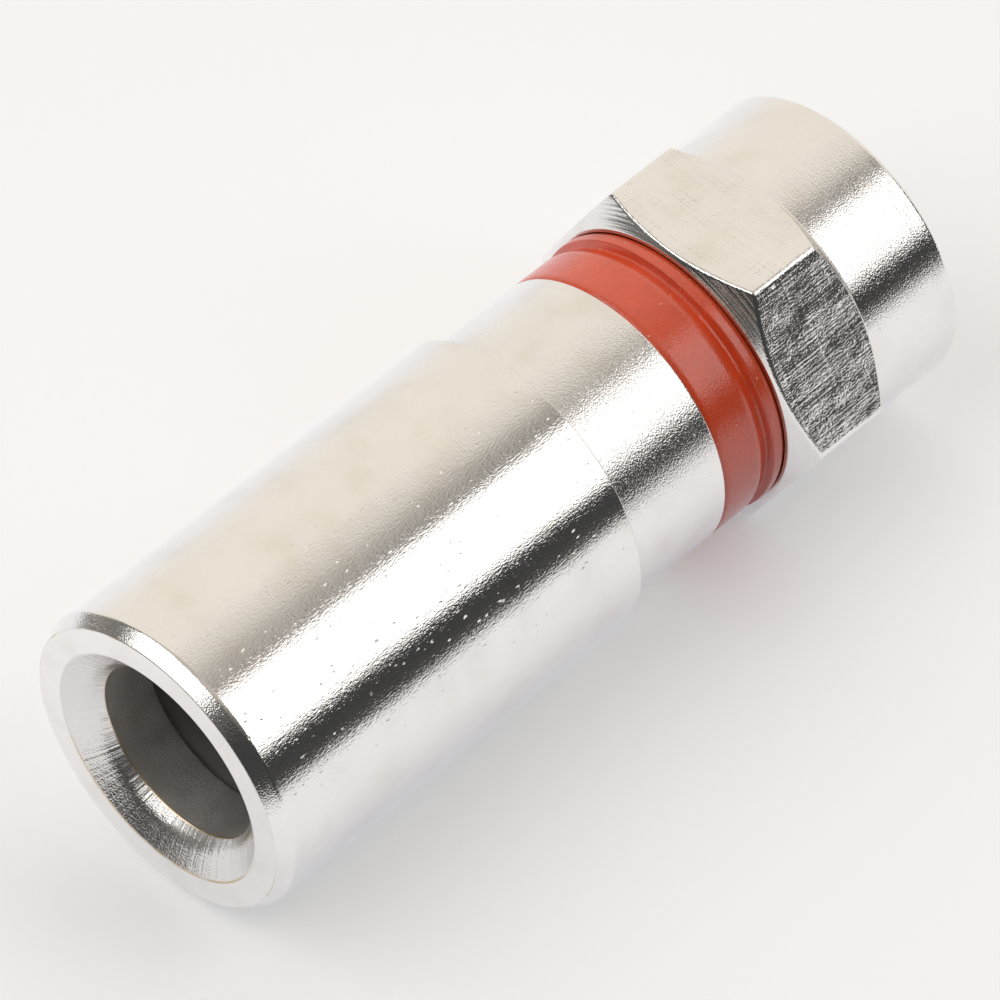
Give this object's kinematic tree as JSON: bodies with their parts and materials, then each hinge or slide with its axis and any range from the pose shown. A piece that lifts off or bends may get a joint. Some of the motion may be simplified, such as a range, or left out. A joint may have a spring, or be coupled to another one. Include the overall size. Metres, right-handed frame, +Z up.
{
  "type": "f connector",
  "caption": "Cable-mount coaxial plug with a free-turning threaded hexagon nut, red weather seal and sliding compression sleeve.",
  "frame": {"origin": "on the plug's axis, in the front face of the post's flange, where the mating socket seats", "axes": "+X forward along the axis, out of the nut; +Z up, square to a flat of the hexagon; the cable leaves along -X"},
  "size_m": [0.0317, 0.0128, 0.0114],
  "materials": {
    "nickel_plate": "bright nickel plate over turned brass",
    "ferrule_plastic": "moulded, satin",
    "red_rubber": "moulded, satin",
    "black_rubber": "moulded, matt"
  },
  "bodies": {
    "plug_body": {"connector_body": "nickel_plate", "post": "nickel_plate", "weather_seal": "red_rubber", "front_ring_seal": "black_rubber", "rear_ring_seal": "black_rubber"},
    "nut": {"coupling_nut": "nickel_plate"},
    "sleeve": {"compression_sleeve": "nickel_plate", "locking_ferrule": "ferrule_plastic"}
  },
  "joints": [
    {"name": "nut_spin", "type": "hinge", "parent": "plug_body", "child": "nut", "pos_m": [0, 0, 0], "axis": [1, 0, 0], "continuous": true},
    {"name": "sleeve_slide", "type": "slide", "parent": "plug_body", "child": "sleeve", "axis": [1, 0, 0], "range_m": [0, 0.0043]}
  ]
}
